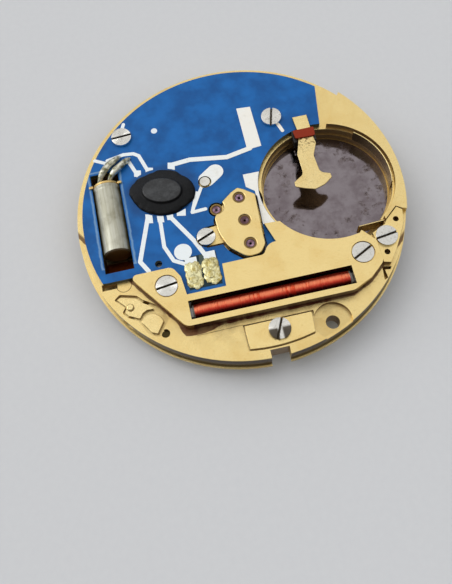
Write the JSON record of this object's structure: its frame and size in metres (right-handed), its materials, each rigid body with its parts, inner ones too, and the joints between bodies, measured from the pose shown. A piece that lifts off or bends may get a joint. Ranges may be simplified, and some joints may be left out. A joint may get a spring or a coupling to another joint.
{
  "type": "quartz watch movement",
  "caption": "Round analogue quartz watch movement with date, shown from the back: gilt plate and cover, blue circuit board, crystal can, train bridge, red coil and an open button-cell well.",
  "frame": {"origin": "on the hand axis, at the dial seat", "axes": "+Z out of the back of the movement, +X along the coil towards the cell well, +Y towards the board's bare end"},
  "size_m": [0.026, 0.026, 0.004],
  "materials": {
    "gilt_brass": "pale gold plating with a fine satin grain",
    "wheel_brass": "polished",
    "polished_steel": "fine turned and polished",
    "ruby": "polished synthetic ruby",
    "insulating_film": "glossy grey film",
    "insulating_paper": "red-brown insulating paper",
    "board_laminate": "satin blue lacquer on laminate",
    "tinned_copper": "bright tin plating",
    "sealing_resin": "charcoal resin",
    "nickel_silver": "drawn nickel silver",
    "solder": "lumpy flux-stained solder",
    "soft_iron": "annealed, satin",
    "enamelled_copper": "red enamelled fine wire",
    "black_plastic": "moulded",
    "magnet": "sintered, ground",
    "date_enamel": "white enamel with black figures"
  },
  "bodies": {
    "movement": {"main_plate": "gilt_brass", "centre_tube": "polished_steel", "wheel_posts": "polished_steel", "plate_jewels": "ruby", "battery_insulator": "insulating_film", "negative_contact_clip": "gilt_brass", "contact_insulator": "insulating_paper", "positive_contact": "gilt_brass", "positive_strip": "gilt_brass", "contact_screw": "polished_steel", "circuit_board": "board_laminate", "circuit_tracks": "tinned_copper", "chip_cap": "sealing_resin", "crystal_can": "nickel_silver", "crystal_base": "wheel_brass", "crystal_leads": "tinned_copper", "board_screws": "polished_steel", "board_stud": "polished_steel", "solder_joints": "solder", "stator": "soft_iron", "coil_core": "polished_steel", "coil_winding": "enamelled_copper", "coil_flanges": "black_plastic", "module_cover": "gilt_brass", "cover_screws": "polished_steel", "train_bridge": "gilt_brass", "bridge_screw": "polished_steel", "bridge_jewels": "ruby", "clamp_plate": "gilt_brass", "clamp_screw": "polished_steel", "keyless_jumper": "gilt_brass", "jumper_screw": "polished_steel", "lever_post": "polished_steel", "date_keeper": "gilt_brass", "keeper_screws": "polished_steel"},
    "negative_finger": {"negative_contact": "gilt_brass"},
    "positive_blade": {"positive_spring": "gilt_brass"},
    "rotor": {"rotor_magnet": "magnet", "rotor_pinion": "polished_steel"},
    "intermediate": {"intermediate_wheel": "wheel_brass", "intermediate_pinion": "polished_steel"},
    "seconds": {"seconds_wheel": "wheel_brass", "seconds_pinion": "polished_steel"},
    "third": {"third_wheel": "wheel_brass", "third_pinion": "polished_steel"},
    "centre": {"centre_wheel": "wheel_brass", "cannon_pinion": "polished_steel"},
    "minute": {"minute_wheel": "wheel_brass"},
    "hour": {"hour_wheel": "wheel_brass"},
    "setting": {"setting_wheel": "wheel_brass"},
    "date_drive": {"date_driving_wheel": "wheel_brass"},
    "ring": {"date_ring": "date_enamel"},
    "ring_click": {"date_jumper": "polished_steel"},
    "lever": {"setting_lever": "gilt_brass"},
    "yoke": {"yoke": "polished_steel"},
    "winding_pinion": {"sliding_pinion": "polished_steel"}
  },
  "joints": [
    {"name": "seconds_spin", "type": "hinge", "parent": "movement", "child": "seconds", "pos_m": [0, 0, 0.0011], "axis": [0, 0, 1], "continuous": true},
    {"name": "intermediate_spin", "type": "hinge", "parent": "movement", "child": "intermediate", "pos_m": [0, -0.002, 0.0013], "axis": [0, 0, 1], "continuous": true},
    {"name": "rotor_spin", "type": "hinge", "parent": "movement", "child": "rotor", "pos_m": [0, -0.004, 0.0012], "axis": [0, 0, 1], "continuous": true},
    {"name": "third_spin", "type": "hinge", "parent": "movement", "child": "third", "pos_m": [-0.0019, -0.0004, 0.001], "axis": [0, 0, 1], "continuous": true},
    {"name": "centre_spin", "type": "hinge", "parent": "movement", "child": "centre", "pos_m": [0, 0, 0.00055], "axis": [0, 0, 1], "continuous": true},
    {"name": "minute_spin", "type": "hinge", "parent": "movement", "child": "minute", "pos_m": [-0.00192, -0.00144, 0.0004], "axis": [0, 0, 1], "continuous": true},
    {"name": "hour_spin", "type": "hinge", "parent": "movement", "child": "hour", "pos_m": [0, 0, 0.0003], "axis": [0, 0, 1], "continuous": true},
    {"name": "setting_spin", "type": "hinge", "parent": "movement", "child": "setting", "pos_m": [-0.00431, -0.00325, 0.0004], "axis": [0, 0, 1], "continuous": true},
    {"name": "date_drive_spin", "type": "hinge", "parent": "movement", "child": "date_drive", "pos_m": [-0.00124, 0.00464, 0.00018], "axis": [0, 0, 1], "continuous": true},
    {"name": "ring_spin", "type": "hinge", "parent": "movement", "child": "ring", "pos_m": [0, 0, 0.00018], "axis": [0, 0, 1], "continuous": true},
    {"name": "ring_click_hinge", "type": "hinge", "parent": "movement", "child": "ring_click", "pos_m": [0.00137, -0.00646, 0.00018], "axis": [0, 0, 1], "range_deg": [0, 4], "stiffness_Nm_per_rad": 0.00002},
    {"name": "negative_finger_hinge", "type": "hinge", "parent": "movement", "child": "negative_finger", "pos_m": [0.00645, 0.0049, 0.0021], "axis": [1, 0, 0], "range_deg": [0, 15], "stiffness_Nm_per_rad": 0.0002},
    {"name": "positive_blade_hinge", "type": "hinge", "parent": "movement", "child": "positive_blade", "pos_m": [0.01028, -0.0043, 0.0015], "axis": [0, 0, 1], "range_deg": [0, 3], "stiffness_Nm_per_rad": 0.0002},
    {"name": "lever_hinge", "type": "hinge", "parent": "movement", "child": "lever", "pos_m": [-0.00976, -0.00668, 0.0014], "axis": [0, 0, 1], "range_deg": [-8, 0]},
    {"name": "yoke_hinge", "type": "hinge", "parent": "movement", "child": "yoke", "pos_m": [-0.00811, -0.00236, 0.0014], "axis": [0, 0, 1], "range_deg": [0, 9.6]},
    {"name": "winding_pinion_slide", "type": "slide", "parent": "movement", "child": "winding_pinion", "axis": [-0.7986, -0.6018, 0], "range_m": [-0.0005, 0]}
  ],
  "couplings": [
    {"joint": "intermediate_spin", "follows": "seconds_spin", "ratio": -6},
    {"joint": "rotor_spin", "follows": "seconds_spin", "ratio": 30},
    {"joint": "third_spin", "follows": "seconds_spin", "ratio": -0.13333},
    {"joint": "centre_spin", "follows": "seconds_spin", "ratio": 0.016667},
    {"joint": "minute_spin", "follows": "seconds_spin", "ratio": -0.0055556},
    {"joint": "hour_spin", "follows": "seconds_spin", "ratio": 0.0013889},
    {"joint": "setting_spin", "follows": "seconds_spin", "ratio": 0.0083333},
    {"joint": "date_drive_spin", "follows": "seconds_spin", "ratio": -0.00069444},
    {"joint": "lever_hinge", "follows": "winding_pinion_slide", "rad_per_m": 279.25},
    {"joint": "yoke_hinge", "follows": "winding_pinion_slide", "rad_per_m": -333.36}
  ]
}
